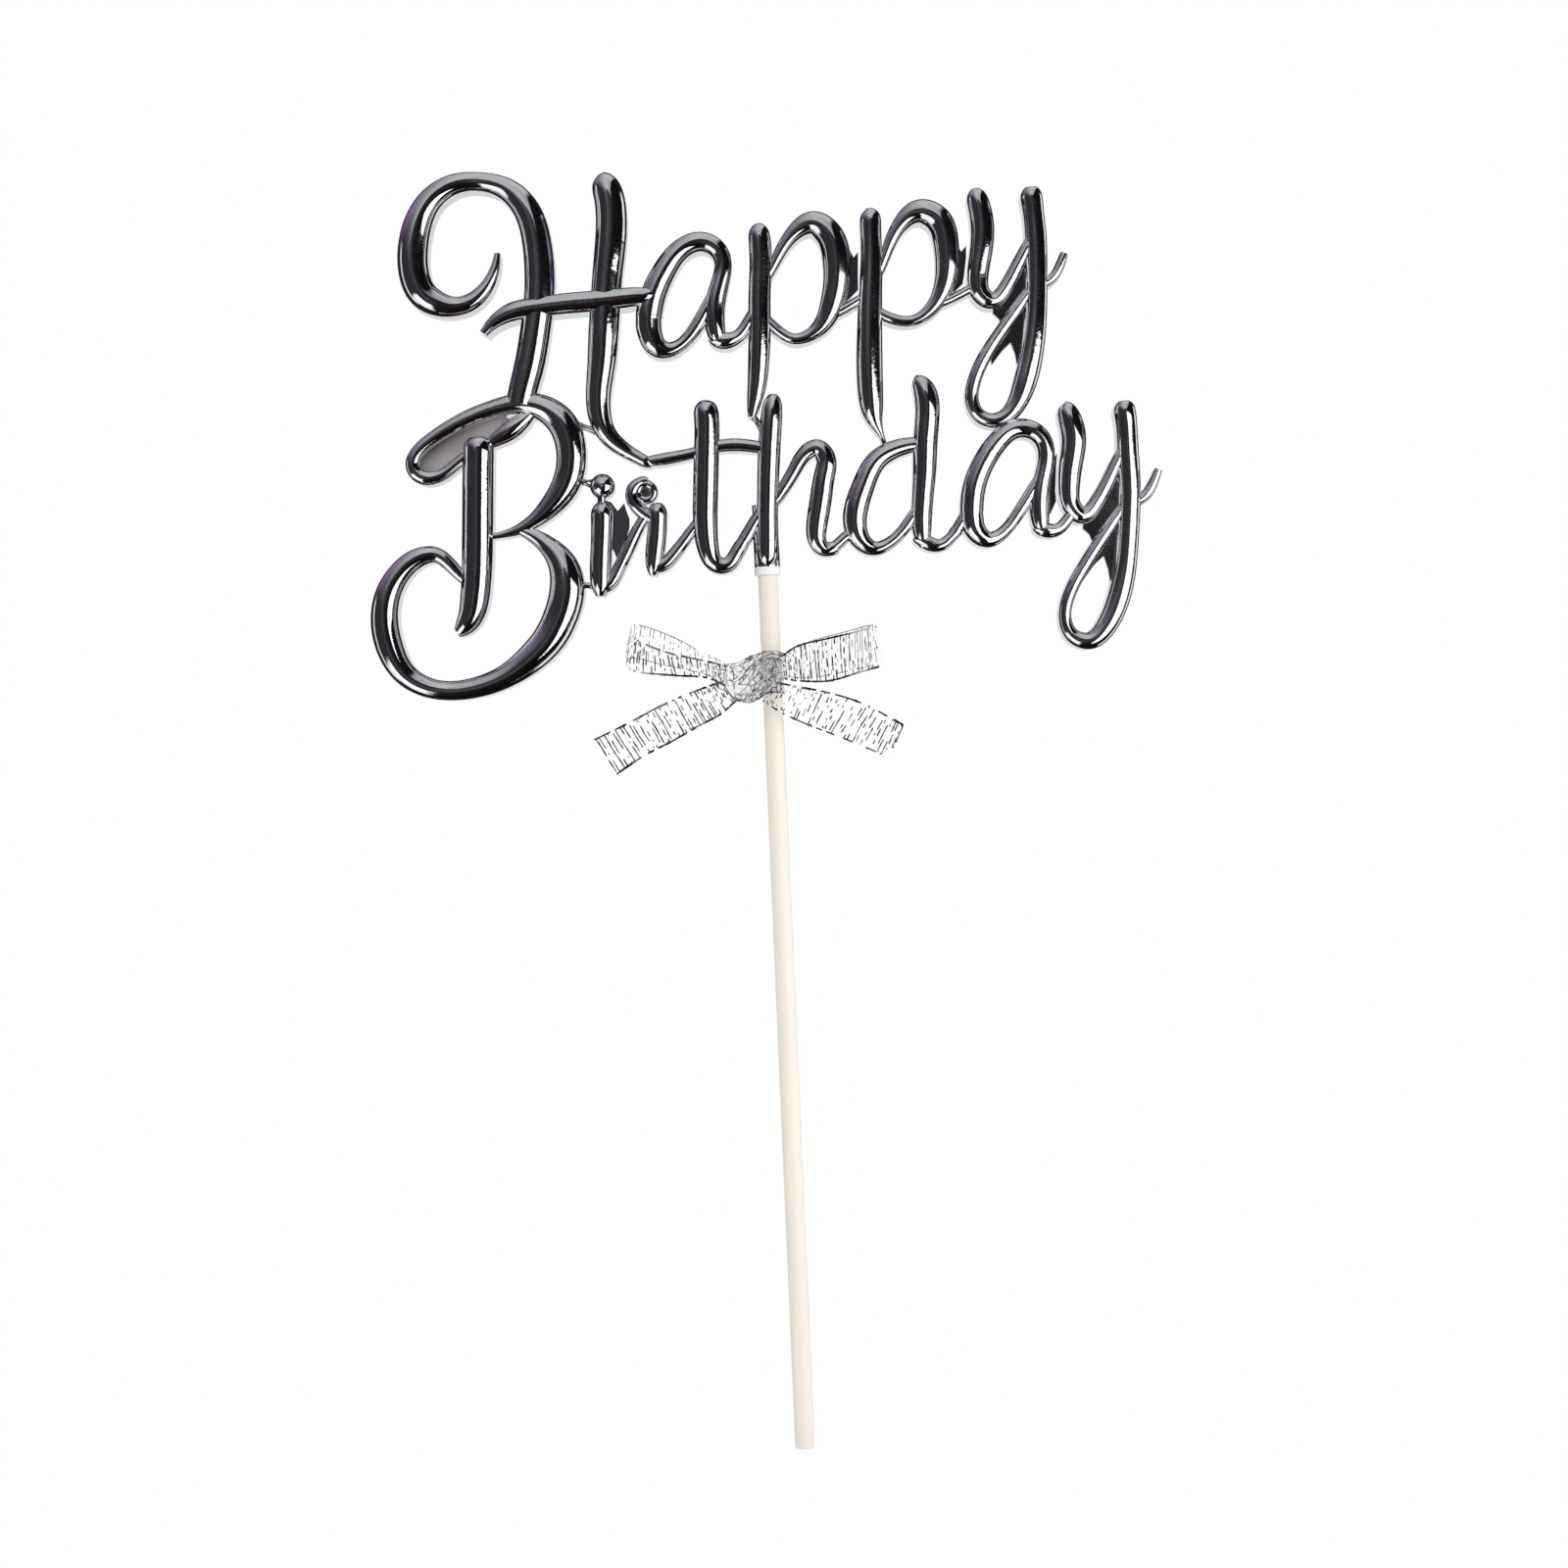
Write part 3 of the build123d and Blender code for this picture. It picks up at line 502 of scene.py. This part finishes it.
def smooth_line(points, share):
    """The point at a share of the way along a smooth line through some points."""
    span = share * (len(points) - 1)
    index = min(int(span), len(points) - 2)
    t = span - index
    here, after = points[index], points[index + 1]
    before = points[index - 1] if index else here * 2 - after
    further = points[index + 2] if index + 2 < len(points) else after * 2 - here
    return (
        here * 2 + (after - before) * t + (before * 2 - here * 5 + after * 4 - further) * t ** 2
        + (here * 3 - before - after * 3 + further) * t ** 3
    ) / 2


knot_tops = [pixel_place(u, v, y) for (u, v), y in zip(KNOT_TOP_PX, KNOT_FRONT)]
knot_bottoms = [pixel_place(u, v, y) for (u, v), y in zip(KNOT_BOTTOM_PX, KNOT_BACK)]


def knot_surface(s, t):
    """The bundle of the knot, s along it and t round it, kept clear of the stick behind it."""
    top = smooth_line(knot_tops, s)
    bottom = smooth_line(knot_bottoms, s)
    turn = 2 * math.pi * t
    pleat = KNOT_PLEAT * math.sin(KNOT_PLEATS * turn + 3 * math.sin(5 * s))
    crumple = KNOT_CRUMPLE * noise.noise(Vector((4 * s, 3 * math.cos(turn), 3 * math.sin(turn))))
    rise = (top - bottom) * 0.5 * (1 + pleat + crumple)
    swing = Vector((rise.x * math.sin(turn), rise.y * math.cos(turn), rise.z * math.sin(turn)))
    place = (top + bottom) / 2 + swing
    if abs(place.x) < STICK_CLEAR:
        place.y = min(place.y, -math.sqrt(STICK_CLEAR ** 2 - place.x ** 2))
    return place


CRUSH_STRETCH = (0.9, 6.5, 1)
CRUSH_DETAIL = 5
# painted shade: the gauze is grey in the low hollows of the crumple and white on its ridges
CRUSH_PAINTED_SHADE_TONES = ((0.36, (0.50, 0.50, 0.53, 1)), (0.60, (0.90, 0.90, 0.92, 1)))
CRUSH_HOLLOWS = (0.35, 0.65)
CRUSH_VEIL = (0.42, 0.05)
CRUSH_RELIEF = 0.5
CRUSH_DEPTH = 0.0001
CRUSH_ROUGHNESS = 0.5


def ramp_node(tree, factor, stops):
    """The colour at a place on a ramp of (position, colour) stops."""
    node = add_node(tree, "ValToRGB", {"Fac": factor})
    elements = node.color_ramp.elements
    while len(elements) < len(stops):
        elements.new(0.5)
    for element, (position, colour) in zip(elements, stops):
        element.position = position
        element.color = colour
    return node.outputs["Color"]


gathered, tree, shader = new_material("gathered_gauze")
flat_place = add_node(tree, "UVMap", uv_map="UVMap").outputs["UV"]
crush = stretched_noise(tree, flat_place, CRUSH_STRETCH, CRUSH_DETAIL)
along = add_node(tree, "SeparateXYZ", {"Vector": flat_place}).outputs["X"]
to_end = math_node(tree, "MINIMUM", along, math_node(tree, "SUBTRACT", KNOT_LENGTH_MM, along))
fade = math_node(tree, "MINIMUM", math_node(tree, "DIVIDE", to_end, KNOT_FADE_MM), 1)
veil = range_node(tree, crush, CRUSH_HOLLOWS, CRUSH_VEIL)
# the base colour is painted shade, grey where the crumple's relief is low
feed(shader, {
    "Base Color": ramp_node(tree, crush, CRUSH_PAINTED_SHADE_TONES),
    "Alpha": math_node(tree, "MULTIPLY", veil, fade),
    "Normal": relief(tree, crush, CRUSH_RELIEF, CRUSH_DEPTH),
    "Roughness": CRUSH_ROUGHNESS,
})

BIT_STATIONS = 6
BIT_SPREAD = 0.24
BIT_SLANT_SPREAD = 0.55
BIT_REACH = (0.04, 0.16)
BIT_BEND = (-1.2, 1.2)
BIT_TWIST_SPREAD = 0.5
BIT_WIDTH = (0.3, 0.75)
BIT_LIFT = 0.00006
BIT_AROUND_TO_ALONG = 1.1
BIT_LIMITS = (0.01, 0.99)
SHORTEST_TRAVEL = 0.000001


def crushed_threads(name, surface, count, seed, slant, span=(0.03, 0.97), around=(0.05, 0.95)):
    """Short bits of thread that lie crushed on a surface, mostly along it, each turned its own way.

    A range that starts below 0 runs on round a closed surface."""
    pick = random.Random(seed)
    last = BIT_STATIONS - 1
    runs = []
    for _ in range(count):
        s = within(pick.gauss(sum(span) / 2, BIT_SPREAD), *span)
        t = pick.uniform(*around)
        angle = pick.gauss(slant, BIT_SLANT_SPREAD)
        reach = pick.uniform(*BIT_REACH)
        bend = pick.uniform(*BIT_BEND)
        twist = pick.gauss(0, BIT_TWIST_SPREAD)
        width = THREAD_WIDTH * pick.uniform(*BIT_WIDTH)
        places, facings = [], []
        for step in range(BIT_STATIONS):
            share = step / last - 0.5
            turn = angle + bend * share
            at_s = within(s + reach * share * math.cos(turn), *BIT_LIMITS)
            at_t = t + BIT_AROUND_TO_ALONG * reach * share * math.sin(turn)
            at_t = at_t % 1 if around[0] < 0 else within(at_t, *BIT_LIMITS)
            facing = sheet_normal(surface, at_s, at_t)
            if facing.y > 0:
                facing = -facing
            places.append(surface(at_s, at_t) + facing * BIT_LIFT)
            facings.append(facing)
        run = []
        for step in range(BIT_STATIONS):
            travel = places[min(step + 1, last)] - places[max(step - 1, 0)]
            if travel.length > SHORTEST_TRAVEL:
                facing = Matrix.Rotation(twist, 3, travel) @ facings[step]
                run.append((places[step], travel, facing, width))
        if len(run) > 1:
            runs.append(run)
    return lay_strips(name, runs)


RIBBON_CURL = 0.0002
LOOP_RIPPLE = 0.0003
RIPPLE_WAVES = (5, 2.2)


def edge_surface(upper_px, lower_px, curl, ripple, seed):
    """The surface of a strip between its upper and lower edge, a little curled and rippled."""
    upper = [pixel_place(*place) for place in upper_px]
    lower = [pixel_place(*place) for place in lower_px]
    step = 0.01

    def surface(s, t):
        top = smooth_line(upper, s)
        bottom = smooth_line(lower, s)
        ahead = smooth_line(upper, min(s + step, 1)) - smooth_line(upper, max(s - step, 0))
        facing = ahead.cross(bottom - top).normalized()
        crown = curl * 4 * t * (1 - t) + ripple * scatter((s, t), RIPPLE_WAVES, seed)
        return top.lerp(bottom, t) + facing * crown

    return surface


def strip_length(surface):
    """The flat length of a strip, along its middle."""
    steps = 200
    marks = [surface(step / steps, 0.5) for step in range(steps + 1)]
    return sum((after - before).length for before, after in zip(marks, marks[1:]))


# an edge of the ribbon is a row of places, each the two numbers of a pixel and a depth in metres
TURN_UPPER_PX = (
    (781, 668, -0.0034), (774, 672, -0.0046), (766, 684, -0.0052),
    (759, 699, -0.0051), (753, 710, -0.0044), (750, 713, -0.0034),
)
TURN_LOWER_PX = (
    (796, 669, -0.0032), (791, 675, -0.0044), (783, 690, -0.0050),
    (776, 704, -0.0051), (771, 714, -0.0044), (768, 717, -0.0034),
)
knot_gauze = gauze_sheet(
    "knot_gauze", knot_surface, KNOT_LENGTH_MM / MM_PER_METRE, columns=120, rows=96)
dress(knot_gauze, gathered)
knot_thread = crushed_threads(
    "knot_thread", knot_surface, count=190, seed=7, slant=0.0, around=(-0.26, 0.26))
turn_surface = edge_surface(TURN_UPPER_PX, TURN_LOWER_PX, RIBBON_CURL, LOOP_RIPPLE, seed=4.4)
turn_gauze = gauze_sheet("turn_gauze", turn_surface, strip_length(turn_surface), columns=60, rows=40)
dress(turn_gauze, gathered)
turn_thread = crushed_threads("turn_thread", turn_surface, count=40, seed=11, slant=0.3)
for piece in (knot_gauze, knot_thread, turn_gauze, turn_thread):
    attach(piece, "bow")
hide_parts("ribbon_knot")


# Loops: each is one length of the ribbon that leaves the knot in front, folds over at its end
# and comes back behind itself. The fold is soft, and the far layer stands a little higher.
LEFT_LOOP_UPPER_PX = (
    (742, 680, -0.0040), (720, 675, -0.0045), (684, 667, -0.0047),
    (656, 656, -0.0044), (645, 647, -0.0033), (650, 637, -0.0022),
    (684, 648, -0.0018), (714, 664, -0.0019), (740, 676, -0.0026),
)
LEFT_LOOP_LOWER_PX = (
    (744, 703, -0.0036), (722, 693, -0.0042), (690, 691, -0.0046),
    (654, 688, -0.0043), (641, 682, -0.0032), (646, 673, -0.0021),
    (682, 681, -0.0018), (716, 688, -0.0019), (742, 698, -0.0026),
)
RIGHT_LOOP_UPPER_PX = (
    (797, 670, -0.0040), (814, 659, -0.0045), (842, 652, -0.0047),
    (872, 645, -0.0045), (893, 638, -0.0034), (884, 638, -0.0022),
    (858, 645, -0.0018), (826, 654, -0.0020), (798, 669, -0.0027),
)
RIGHT_LOOP_LOWER_PX = (
    (799, 694, -0.0036), (818, 697, -0.0042), (846, 697, -0.0046),
    (874, 689, -0.0045), (903, 680, -0.0033), (886, 682, -0.0021),
    (858, 688, -0.0018), (826, 693, -0.0020), (800, 692, -0.0027),
)
LOOP_COLUMNS = 160
left_loop = edge_surface(LEFT_LOOP_UPPER_PX, LEFT_LOOP_LOWER_PX, RIBBON_CURL, LOOP_RIPPLE, seed=1.3)
hang_ribbon(
    "left_loop_gauze", "left_loop", left_loop, strip_length(left_loop), seed=1.3,
    columns=LOOP_COLUMNS, faint=(0.46, 1), fold=(0.42, 0.56))
right_loop = edge_surface(RIGHT_LOOP_UPPER_PX, RIGHT_LOOP_LOWER_PX, RIBBON_CURL, LOOP_RIPPLE, seed=2.9)
hang_ribbon(
    "right_loop_gauze", "right_loop", right_loop, strip_length(right_loop), seed=2.9,
    columns=LOOP_COLUMNS, faint=(0.5, 1), fold=(0.44, 0.58))


# Tails: the two cut ends of the ribbon, which come out below the knot and wave a little.
# They are the same gauze and threads, held by the knot alone, and the right one is more worn.
LEFT_TAIL_UPPER_PX = (
    (738, 695, -0.0036), (720, 701, -0.0033), (696, 710, -0.0030),
    (668, 723, -0.0033), (638, 739, -0.0031), (607, 754, -0.0034),
)
LEFT_TAIL_LOWER_PX = (
    (752, 716, -0.0036), (736, 730, -0.0032), (714, 742, -0.0030),
    (688, 757, -0.0032), (659, 772, -0.0031), (631, 791, -0.0033),
)
RIGHT_TAIL_UPPER_PX = (
    (790, 696, -0.0036), (812, 700, -0.0033), (840, 705, -0.0030),
    (872, 714, -0.0033), (900, 727, -0.0031), (921, 739, -0.0034),
)
RIGHT_TAIL_LOWER_PX = (
    (778, 716, -0.0036), (798, 729, -0.0032), (824, 741, -0.0030),
    (850, 751, -0.0032), (880, 763, -0.0031), (906, 774, -0.0033),
)
TAIL_RIPPLE = 0.0004
left_tail = edge_surface(LEFT_TAIL_UPPER_PX, LEFT_TAIL_LOWER_PX, RIBBON_CURL, TAIL_RIPPLE, seed=5.2)
hang_ribbon("left_tail_gauze", "left_tail", left_tail, strip_length(left_tail), seed=4.6)
right_tail = edge_surface(RIGHT_TAIL_UPPER_PX, RIGHT_TAIL_LOWER_PX, RIBBON_CURL, TAIL_RIPPLE, seed=8.8)
hang_ribbon("right_tail_gauze", "right_tail", right_tail, strip_length(right_tail), seed=8.8, worn=0.08)


# Ties: the short plated bridges where neighbouring letters just touch, moulded with them.
# Each is waisted in the middle, and its ends run into the sides of the letters.
TIE_RADIUS = 0.00075
TIE_WAIST = 0.62
TIE_SIDES = 20
TIE_CUTS = 9
TIE_BACK = 0.0004
TIES_PX = (
    ("tie_b_to_h", (588, 433), (608, 439)), ("tie_b_to_dot", (588, 490), (603, 493)),
    ("tie_b_to_i", (590, 596), (611, 598)), ("tie_p_to_h", (766, 421), (778, 437)),
)
for tie_name, start_px, end_px in TIES_PX:
    start, end = (pixel_place(u, v, TIE_BACK) for u, v in (start_px, end_px))
    span = end - start
    bpy.ops.object.select_all(action="DESELECT")
    bpy.ops.mesh.primitive_cylinder_add(
        vertices=TIE_SIDES, radius=TIE_RADIUS, depth=span.length, location=(start + end) / 2,
        rotation=span.to_track_quat("Z", "Y").to_euler(),
    )
    tie = bpy.context.object
    tie.name = tie_name
    bpy.ops.object.mode_set(mode="EDIT")
    bpy.ops.mesh.select_mode(type="EDGE")
    bpy.ops.mesh.select_all(action="DESELECT")
    bpy.ops.object.mode_set(mode="OBJECT")
    for edge in tie.data.edges:
        ends = [tie.data.vertices[index].co for index in edge.vertices]
        edge.select = abs(ends[0].z - ends[1].z) > TIE_RADIUS / 2
    bpy.ops.object.mode_set(mode="EDIT")
    bpy.ops.mesh.subdivide_edgering(number_cuts=TIE_CUTS)
    bpy.ops.object.mode_set(mode="OBJECT")
    for vertex in tie.data.vertices:
        girth = TIE_WAIST + (1 - TIE_WAIST) * (vertex.co.z / (span.length / 2)) ** 2
        vertex.co.x *= girth
        vertex.co.y *= girth
    bpy.ops.object.transform_apply(location=True, rotation=True, scale=True)
    bpy.ops.object.shade_smooth_by_angle(angle=SMOOTH_ANGLE)
    dress(tie, plating)
    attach(tie, "lettering")


# Floor: a plain pale floor just under the stick's lower end, which isn't part of the topper.
# It is lit to white where the camera sees it, and it keeps the soft shadow.
FLOOR_SIZE = 6.0
FLOOR_HEIGHT = -0.0006
FLOOR_PALE = (0.9, 0.9, 0.9, 1)
FLOOR_ROUGHNESS = 0.9
bpy.ops.mesh.primitive_plane_add(size=FLOOR_SIZE, location=(0, 0, FLOOR_HEIGHT))
floor = bpy.context.object
floor.name = "pale_floor"
floor_finish, tree, shader = new_material("pale_floor")
feed(shader, {"Base Color": FLOOR_PALE, "Roughness": FLOOR_ROUGHNESS})
white = add_node(tree, "Emission", {"Color": (1, 1, 1, 1)})
path = add_node(tree, "LightPath")
seen = math_node(tree, "MAXIMUM", path.outputs["Is Camera Ray"], path.outputs["Is Glossy Ray"])
seen = math_node(tree, "MAXIMUM", seen, path.outputs["Is Transmission Ray"])
blend = add_node(tree, "MixShader", {
    "Fac": seen, 1: shader.outputs["BSDF"], 2: white.outputs["Emission"],
})
feed(tree.nodes["Material Output"], {"Surface": blend.outputs["Shader"]})
dress(floor, floor_finish)
floor.visible_glossy = False


# Studio: white all round for the camera, with a dark camera side and a grey ceiling for the
# plating to mirror, and one broad soft lamp close by on the right, which it mirrors as a
# white strip.
WHITE = (1.0, 1.0, 1.0, 1)
ROOM = (0.97, 0.97, 0.97, 1)
PANEL = (1.30, 1.30, 1.28, 1)
TABLE = (0.80, 0.79, 0.80, 1)
PALE = (0.60, 0.60, 0.61, 1)
GREY = (0.42, 0.41, 0.43, 1)
LILAC = (0.30, 0.26, 0.34, 1)
PURPLE = (0.28, 0.14, 0.37, 1)
DUSK = (0.13, 0.12, 0.14, 1)
SLATE = (0.030, 0.031, 0.036, 1)
BROWN = (0.020, 0.011, 0.010, 1)
SHADE = (0.013, 0.012, 0.013, 1)
BLACK = (0.005, 0.004, 0.005, 1)
# straight ahead of the lettering, from the left to the right
FRONT = (
    (0.0, SLATE), (0.37, SLATE), (0.42, (0.075, 0.076, 0.085, 1)), (0.45, (0.060, 0.060, 0.068, 1)),
    (0.49, (0.032, 0.032, 0.036, 1)), (0.54, (0.019, 0.019, 0.021, 1)),
    (0.66, (0.010, 0.009, 0.010, 1)), (1.0, BLACK),
)
# each ring starts at an angle from the camera side, and gives its colours once round over the top
RINGS = (
    (22, (
        (0.0, SHADE), (0.060, BLACK), (0.145, BLACK), (0.160, GREY), (0.25, PALE), (0.340, GREY),
        (0.400, DUSK), (0.440, SLATE), (0.660, SLATE), (0.700, BROWN), (0.830, BLACK), (1.0, SHADE),
    )),
    (37, (
        (0.0, BLACK), (0.145, BLACK), (0.160, GREY), (0.25, PALE), (0.340, GREY), (0.400, DUSK),
        (0.440, SLATE), (0.560, SLATE), (0.575, PANEL), (0.680, PANEL), (0.695, BROWN), (0.825, BLACK),
        (1.0, BLACK),
    )),
    (69, (
        (0.0, BLACK), (0.145, BLACK), (0.160, PALE), (0.25, PALE), (0.340, LILAC), (0.395, PURPLE),
        (0.435, SLATE), (0.565, SLATE), (0.580, WHITE), (0.680, WHITE), (0.700, BLACK), (1.0, BLACK),
    )),
    (84, (
        (0.0, BLACK), (0.145, BLACK), (0.160, PALE), (0.25, PALE), (0.340, LILAC), (0.395, PURPLE),
        (0.440, SLATE), (0.455, WHITE), (0.600, WHITE), (0.620, BROWN), (0.700, BLACK), (1.0, BLACK),
    )),
    (96, (
        (0.0, WHITE), (0.060, WHITE), (0.080, BROWN), (0.145, BROWN), (0.160, PALE), (0.25, PALE),
        (0.340, LILAC), (0.400, PURPLE), (0.450, SLATE), (0.560, SLATE), (0.690, BROWN), (0.825, BLACK),
        (0.840, WHITE), (1.0, WHITE),
    )),
)
SHADE_START = 118
TABLE_START = 150
RING_BLUR = 1.5

world = bpy.data.worlds.new("studio")
bpy.context.scene.world = world
world.use_nodes = True
tree = world.node_tree
tree.nodes.clear()
direction = add_node(tree, "TexCoord").outputs["Generated"]
split = add_node(tree, "SeparateXYZ", {"Vector": direction})
# 0 in front of the lettering, 1 behind it
away = math_node(tree, "ARCCOSINE", math_node(tree, "MULTIPLY", split.outputs["Y"], -1))
away = math_node(tree, "DIVIDE", away, math.pi)
# 0 to 1 once round the camera's axis, from the right over the top
turn = math_node(tree, "ARCTAN2", split.outputs["Z"], split.outputs["X"])
turn = math_node(tree, "FRACT", math_node(tree, "DIVIDE", turn, 2 * math.pi))


def beyond(start):
    """A mask of what lies further round than an angle from the camera side, in degrees."""
    return range_node(tree, away, ((start - RING_BLUR) / 180, (start + RING_BLUR) / 180))


mirrored = ramp_node(tree, math_node(tree, "MULTIPLY_ADD", split.outputs["X"], 0.5, 0.5), FRONT)
for start, stops in RINGS:
    mirrored = mix_colours(tree, beyond(start), mirrored, ramp_node(tree, turn, stops))
mirrored = mix_colours(tree, beyond(SHADE_START), mirrored, SHADE)
mirrored = mix_colours(tree, beyond(TABLE_START), mirrored, TABLE)
path = add_node(tree, "LightPath")
seen = mix_colours(tree, path.outputs["Is Glossy Ray"], ROOM, mirrored)
plain = math_node(tree, "MAXIMUM", path.outputs["Is Camera Ray"], path.outputs["Is Transmission Ray"])
background = add_node(tree, "Background", {"Color": mix_colours(tree, plain, seen, WHITE)})
add_node(tree, "OutputWorld", {"Surface": background.outputs["Background"]})

LAMP_LEFT, LAMP_RIGHT = 0.091, 0.750
LAMP_BOTTOM, LAMP_TOP = -0.120, 0.200
LAMP_FRONT = -0.220
LAMP_GLOW = 1.5
bpy.ops.object.light_add(
    type="AREA",
    location=((LAMP_LEFT + LAMP_RIGHT) / 2, LAMP_FRONT, (LAMP_BOTTOM + LAMP_TOP) / 2),
    rotation=(math.pi / 2, 0, 0),
)
lamp = bpy.context.object
lamp.name = "soft_lamp"
lamp.data.shape = "RECTANGLE"
lamp.data.size = LAMP_RIGHT - LAMP_LEFT
lamp.data.size_y = LAMP_TOP - LAMP_BOTTOM
lamp.data.energy = LAMP_GLOW * math.pi * lamp.data.size * lamp.data.size_y
lamp.visible_camera = False
lamp.visible_transmission = False


# Camera: square on to the front and close by. It is turned a little, so that the stick leans as
# it does in the picture.
VIEW_WIDTH = 0.2405
VIEW_DISTANCE = 0.400
VIEW_CENTRE = Vector((0.001125, 0, 0.10174))
VIEW_CLIP = 0.01
bpy.ops.object.camera_add()
camera = bpy.context.object
camera.name = "camera"
across = Vector((math.cos(STICK_LEAN), 0, -math.sin(STICK_LEAN)))
upward = Vector((math.sin(STICK_LEAN), 0, math.cos(STICK_LEAN)))
camera.matrix_world = Matrix((
    (across.x, upward.x, 0, VIEW_CENTRE.x),
    (across.y, upward.y, -1, VIEW_CENTRE.y - VIEW_DISTANCE),
    (across.z, upward.z, 0, VIEW_CENTRE.z),
    (0, 0, 0, 1),
))
camera.data.angle = 2 * math.atan(VIEW_WIDTH / 2 / VIEW_DISTANCE)
camera.data.clip_start = VIEW_CLIP
bpy.context.scene.camera = camera
bpy.context.scene.view_settings.view_transform = "Standard"
